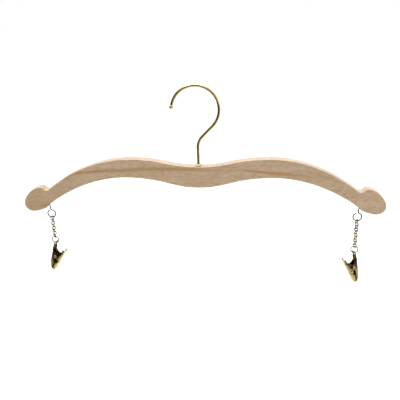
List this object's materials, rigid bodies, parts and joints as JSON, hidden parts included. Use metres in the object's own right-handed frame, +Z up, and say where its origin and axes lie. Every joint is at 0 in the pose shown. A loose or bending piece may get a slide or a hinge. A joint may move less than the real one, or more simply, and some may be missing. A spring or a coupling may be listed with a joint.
{
  "type": "clip hanger",
  "caption": "Wooden clothes hanger: a curved flat bar with strap notches on a swivel wire hook, and a sprung metal clip hung on a short chain under each end.",
  "frame": {"origin": "where a rail carries the hook: inside the top of the hook's crown, on the shank's axis and half way through the bar", "axes": "+X along the bar to the viewer's right, +Y through the bar away from the viewer, +Z up"},
  "size_m": [0.445, 0.0171, 0.25],
  "materials": {
    "hook_wire": "bright gold plate",
    "hook_ball_tip": "bright gold plate",
    "hook_nut": "bright gold plate",
    "bar": "smooth sanded beech under clear matt lacquer",
    "hook_bush": "bright gold plate",
    "hook_washer": "bright gold plate",
    "screw_eye_left": "bright gold plate",
    "screw_eye_right": "bright gold plate",
    "chain_left_link_01": "bright gold plate",
    "chain_left_link_02": "bright gold plate",
    "chain_left_link_03": "bright gold plate",
    "chain_left_link_04": "bright gold plate",
    "chain_left_link_05": "bright gold plate",
    "chain_left_link_06": "bright gold plate",
    "chain_left_link_07": "bright gold plate",
    "chain_left_link_08": "bright gold plate",
    "jump_ring_left": "bright gold plate",
    "clip_left_back_jaw": "bright gold plate",
    "clip_left_pin": "bright gold plate",
    "clip_left_spring": "plated spring wire",
    "clip_left_lever": "bright gold plate",
    "chain_right_link_01": "bright gold plate",
    "chain_right_link_02": "bright gold plate",
    "chain_right_link_03": "bright gold plate",
    "chain_right_link_04": "bright gold plate",
    "chain_right_link_05": "bright gold plate",
    "chain_right_link_06": "bright gold plate",
    "chain_right_link_07": "bright gold plate",
    "chain_right_link_08": "bright gold plate",
    "chain_right_link_09": "bright gold plate",
    "chain_right_link_10": "bright gold plate",
    "jump_ring_right": "bright gold plate",
    "clip_right_back_jaw": "bright gold plate",
    "clip_right_pin": "bright gold plate",
    "clip_right_spring": "plated spring wire",
    "clip_right_lever": "bright gold plate"
  },
  "bodies": {
    "hook": {"hook_wire": "hook_wire", "hook_ball_tip": "hook_ball_tip", "hook_nut": "hook_nut"},
    "bar": {"bar": "bar", "hook_bush": "hook_bush", "hook_washer": "hook_washer", "screw_eye_left": "screw_eye_left", "screw_eye_right": "screw_eye_right"},
    "left_link_1": {"chain_left_link_01": "chain_left_link_01"},
    "left_link_2": {"chain_left_link_02": "chain_left_link_02"},
    "left_link_3": {"chain_left_link_03": "chain_left_link_03"},
    "left_link_4": {"chain_left_link_04": "chain_left_link_04"},
    "left_link_5": {"chain_left_link_05": "chain_left_link_05"},
    "left_link_6": {"chain_left_link_06": "chain_left_link_06"},
    "left_link_7": {"chain_left_link_07": "chain_left_link_07"},
    "left_link_8": {"chain_left_link_08": "chain_left_link_08"},
    "left_ring": {"jump_ring_left": "jump_ring_left"},
    "left_clip": {"clip_left_back_jaw": "clip_left_back_jaw", "clip_left_pin": "clip_left_pin", "clip_left_spring": "clip_left_spring"},
    "left_lever": {"clip_left_lever": "clip_left_lever"},
    "right_link_1": {"chain_right_link_01": "chain_right_link_01"},
    "right_link_2": {"chain_right_link_02": "chain_right_link_02"},
    "right_link_3": {"chain_right_link_03": "chain_right_link_03"},
    "right_link_4": {"chain_right_link_04": "chain_right_link_04"},
    "right_link_5": {"chain_right_link_05": "chain_right_link_05"},
    "right_link_6": {"chain_right_link_06": "chain_right_link_06"},
    "right_link_7": {"chain_right_link_07": "chain_right_link_07"},
    "right_link_8": {"chain_right_link_08": "chain_right_link_08"},
    "right_link_9": {"chain_right_link_09": "chain_right_link_09"},
    "right_link_10": {"chain_right_link_10": "chain_right_link_10"},
    "right_ring": {"jump_ring_right": "jump_ring_right"},
    "right_clip": {"clip_right_back_jaw": "clip_right_back_jaw", "clip_right_pin": "clip_right_pin", "clip_right_spring": "clip_right_spring"},
    "right_lever": {"clip_right_lever": "clip_right_lever"}
  },
  "joints": [
    {"name": "hook_swivel", "type": "hinge", "parent": "hook", "child": "bar", "pos_m": [0, 0, -0.09345], "axis": [0, 0, 1], "continuous": true},
    {"name": "left_link_1_swing", "type": "hinge", "parent": "bar", "child": "left_link_1", "pos_m": [-0.19135, 0, -0.16299], "axis": [1, 0, 0], "range_deg": [-35, 35]},
    {"name": "left_link_2_swing", "type": "hinge", "parent": "left_link_1", "child": "left_link_2", "pos_m": [-0.19135, 0, -0.16647], "axis": [0.7071, 0.7071, 0], "range_deg": [-75, 75]},
    {"name": "left_link_3_swing", "type": "hinge", "parent": "left_link_2", "child": "left_link_3", "pos_m": [-0.19135, 0, -0.17007], "axis": [0.7071, -0.7071, 0], "range_deg": [-75, 75]},
    {"name": "left_link_4_swing", "type": "hinge", "parent": "left_link_3", "child": "left_link_4", "pos_m": [-0.19135, 0, -0.17367], "axis": [-0.7071, -0.7071, 0], "range_deg": [-75, 75]},
    {"name": "left_link_5_swing", "type": "hinge", "parent": "left_link_4", "child": "left_link_5", "pos_m": [-0.19135, 0, -0.17727], "axis": [-0.7071, 0.7071, 0], "range_deg": [-75, 75]},
    {"name": "left_link_6_swing", "type": "hinge", "parent": "left_link_5", "child": "left_link_6", "pos_m": [-0.19135, 0, -0.18087], "axis": [0.7071, 0.7071, 0], "range_deg": [-75, 75]},
    {"name": "left_link_7_swing", "type": "hinge", "parent": "left_link_6", "child": "left_link_7", "pos_m": [-0.19135, 0, -0.18447], "axis": [0.7071, -0.7071, 0], "range_deg": [-75, 75]},
    {"name": "left_link_8_swing", "type": "hinge", "parent": "left_link_7", "child": "left_link_8", "pos_m": [-0.19135, 0, -0.18807], "axis": [-0.7071, -0.7071, 0], "range_deg": [-75, 75]},
    {"name": "left_ring_swing", "type": "hinge", "parent": "left_link_8", "child": "left_ring", "pos_m": [-0.19135, 0, -0.19167], "axis": [0, 1, 0], "range_deg": [-18, 18]},
    {"name": "left_clip_swing", "type": "hinge", "parent": "left_ring", "child": "left_clip", "pos_m": [-0.19135, 0, -0.19894], "axis": [-1, 0, 0], "range_deg": [-60, 60]},
    {"name": "left_lever_open", "type": "hinge", "parent": "left_clip", "child": "left_lever", "pos_m": [-0.19231, 0.00035, -0.2181], "axis": [-0.342, -0.9397, 0], "range_deg": [0, 28], "stiffness_Nm_per_rad": 0.02, "springref_deg": -34.38, "deforming": ["clip_left_spring"]},
    {"name": "right_link_1_swing", "type": "hinge", "parent": "bar", "child": "right_link_1", "pos_m": [0.19135, 0, -0.16299], "axis": [1, 0, 0], "range_deg": [-35, 35]},
    {"name": "right_link_2_swing", "type": "hinge", "parent": "right_link_1", "child": "right_link_2", "pos_m": [0.19135, 0, -0.16647], "axis": [0.7071, 0.7071, 0], "range_deg": [-75, 75]},
    {"name": "right_link_3_swing", "type": "hinge", "parent": "right_link_2", "child": "right_link_3", "pos_m": [0.19135, 0, -0.17007], "axis": [0.7071, -0.7071, 0], "range_deg": [-75, 75]},
    {"name": "right_link_4_swing", "type": "hinge", "parent": "right_link_3", "child": "right_link_4", "pos_m": [0.19135, 0, -0.17367], "axis": [-0.7071, -0.7071, 0], "range_deg": [-75, 75]},
    {"name": "right_link_5_swing", "type": "hinge", "parent": "right_link_4", "child": "right_link_5", "pos_m": [0.19135, 0, -0.17727], "axis": [-0.7071, 0.7071, 0], "range_deg": [-75, 75]},
    {"name": "right_link_6_swing", "type": "hinge", "parent": "right_link_5", "child": "right_link_6", "pos_m": [0.19135, 0, -0.18087], "axis": [0.7071, 0.7071, 0], "range_deg": [-75, 75]},
    {"name": "right_link_7_swing", "type": "hinge", "parent": "right_link_6", "child": "right_link_7", "pos_m": [0.19135, 0, -0.18447], "axis": [0.7071, -0.7071, 0], "range_deg": [-75, 75]},
    {"name": "right_link_8_swing", "type": "hinge", "parent": "right_link_7", "child": "right_link_8", "pos_m": [0.19135, 0, -0.18807], "axis": [-0.7071, -0.7071, 0], "range_deg": [-75, 75]},
    {"name": "right_link_9_swing", "type": "hinge", "parent": "right_link_8", "child": "right_link_9", "pos_m": [0.19135, 0, -0.19167], "axis": [-0.7071, 0.7071, 0], "range_deg": [-75, 75]},
    {"name": "right_link_10_swing", "type": "hinge", "parent": "right_link_9", "child": "right_link_10", "pos_m": [0.19135, 0, -0.19527], "axis": [0.7071, 0.7071, 0], "range_deg": [-75, 75]},
    {"name": "right_ring_swing", "type": "hinge", "parent": "right_link_10", "child": "right_ring", "pos_m": [0.19135, 0, -0.19887], "axis": [0, 1, 0], "range_deg": [-18, 18]},
    {"name": "right_clip_swing", "type": "hinge", "parent": "right_ring", "child": "right_clip", "pos_m": [0.19135, 0, -0.20614], "axis": [-1, 0, 0], "range_deg": [-60, 60]},
    {"name": "right_lever_open", "type": "hinge", "parent": "right_clip", "child": "right_lever", "pos_m": [0.19031, -0.00049, -0.22529], "axis": [-0.4226, 0.9063, 0], "range_deg": [0, 28], "stiffness_Nm_per_rad": 0.02, "springref_deg": -34.38, "deforming": ["clip_right_spring"]}
  ]
}
